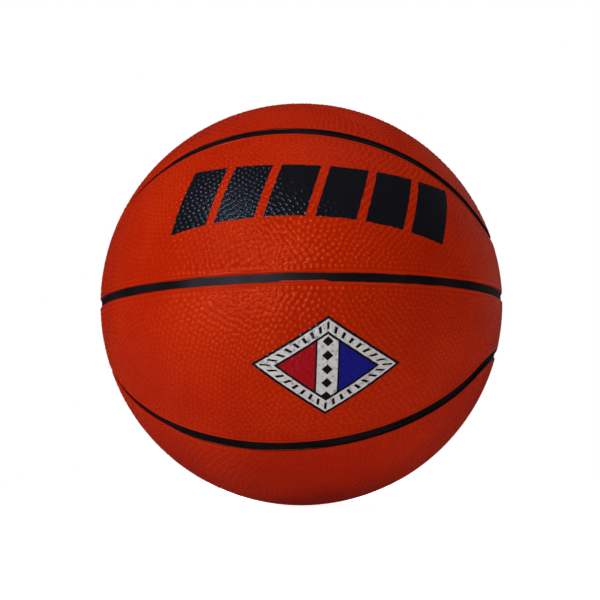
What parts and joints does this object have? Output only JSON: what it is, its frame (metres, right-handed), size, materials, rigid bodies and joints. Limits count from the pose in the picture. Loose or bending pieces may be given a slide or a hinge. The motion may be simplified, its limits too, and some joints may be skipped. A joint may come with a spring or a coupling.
{
  "type": "basketball",
  "caption": "Round game ball with pebbled rubber panels between recessed black channels, over a carcass, wound nylon and a bladder with a needle valve.",
  "frame": {"origin": "the ball's centre", "axes": "+Z is square to the ring, the one channel that no loop crosses; -Y is the side that the picture shows; +Y runs out through the valve"},
  "size_m": [0.2398, 0.2397, 0.24],
  "materials": {
    "cover": "satin",
    "channel": "satin",
    "carcass": "matte",
    "winding": "matte",
    "bladder": "satin",
    "valve": "satin"
  },
  "bodies": {
    "root": {"top_loop_panel_front": "cover", "top_loop_panel_back": "cover", "bottom_loop_panel_front": "cover", "bottom_loop_panel_back": "cover", "upper_band_panel_front": "cover", "upper_band_panel_back": "cover", "lower_band_panel_front": "cover", "lower_band_panel_back": "cover", "ring_strip": "channel", "cross_strip_top": "channel", "cross_strip_bottom": "channel", "top_loop_strip_front": "channel", "top_loop_strip_back": "channel", "bottom_loop_strip_front": "channel", "bottom_loop_strip_back": "channel", "carcass": "carcass", "winding": "winding", "bladder": "bladder", "valve_seat": "valve", "valve_core": "valve"}
  },
  "joints": []
}
